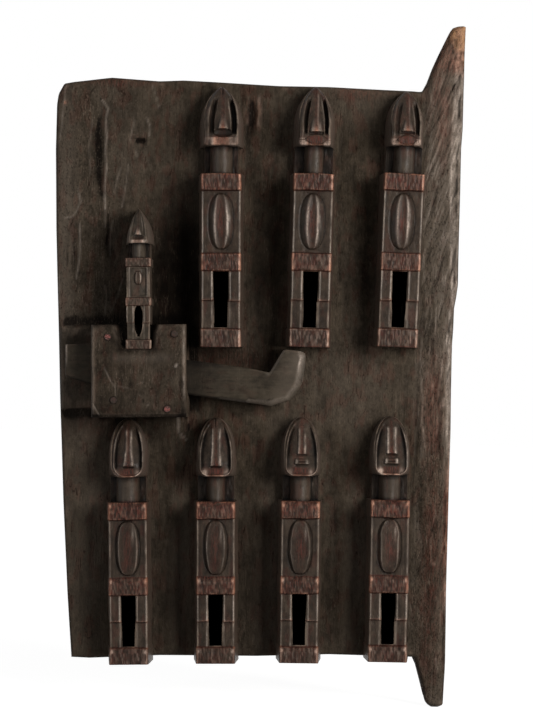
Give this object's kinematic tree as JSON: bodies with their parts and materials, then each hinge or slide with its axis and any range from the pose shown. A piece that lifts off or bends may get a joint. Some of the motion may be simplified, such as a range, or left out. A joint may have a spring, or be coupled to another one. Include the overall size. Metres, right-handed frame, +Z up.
{
  "type": "granary door",
  "caption": "Hewn wooden granary door with two rows of carved ancestor figures, a sliding-bolt lock with drop tumblers, and horns it turns on.",
  "frame": {"origin": "on the pivot axis, at the root of the round pivot at the bottom horn's end", "axes": "+Z up the pivot axis through both horns, +X to the hinge side (right, seen from the carved front), +Y to the back"},
  "size_m": [0.4538, 0.09, 0.7605],
  "materials": {
    "plank_wood": "hewn, smoke-dark patina",
    "figure_wood": "carved, handled patina with worn edges",
    "lock_wood": "carved, dark patina",
    "lock_figure_wood": "carved, dark patina",
    "bolt_wood": "planed smooth by use",
    "forged_iron": "forged, rusted"
  },
  "bodies": {
    "door": {"door_plank": "plank_wood", "ancestor_top_1": "figure_wood", "ancestor_top_2": "figure_wood", "ancestor_top_3": "figure_wood", "ancestor_bottom_1": "figure_wood", "ancestor_bottom_2": "figure_wood", "ancestor_bottom_3": "figure_wood", "ancestor_bottom_4": "figure_wood", "lock_case": "lock_wood", "lock_figure": "lock_figure_wood", "case_nail_1": "forged_iron", "case_nail_2": "forged_iron", "case_nail_3": "forged_iron", "case_nail_4": "forged_iron"},
    "bolt": {"lock_bolt": "bolt_wood"},
    "tumbler_1": {"tumbler_1": "forged_iron"},
    "tumbler_2": {"tumbler_2": "forged_iron"},
    "tumbler_3": {"tumbler_3": "forged_iron"}
  },
  "joints": [
    {"name": "bolt_slide", "type": "slide", "parent": "door", "child": "bolt", "axis": [-0.9945, 0, 0.1045], "range_m": [0, 0.04]},
    {"name": "tumbler_1_lift", "type": "slide", "parent": "door", "child": "tumbler_1", "axis": [0.1045, 0, 0.9945], "range_m": [0, 0.005]},
    {"name": "tumbler_2_lift", "type": "slide", "parent": "door", "child": "tumbler_2", "axis": [0.1045, 0, 0.9945], "range_m": [0, 0.005]},
    {"name": "tumbler_3_lift", "type": "slide", "parent": "door", "child": "tumbler_3", "axis": [0.1045, 0, 0.9945], "range_m": [0, 0.005]}
  ]
}
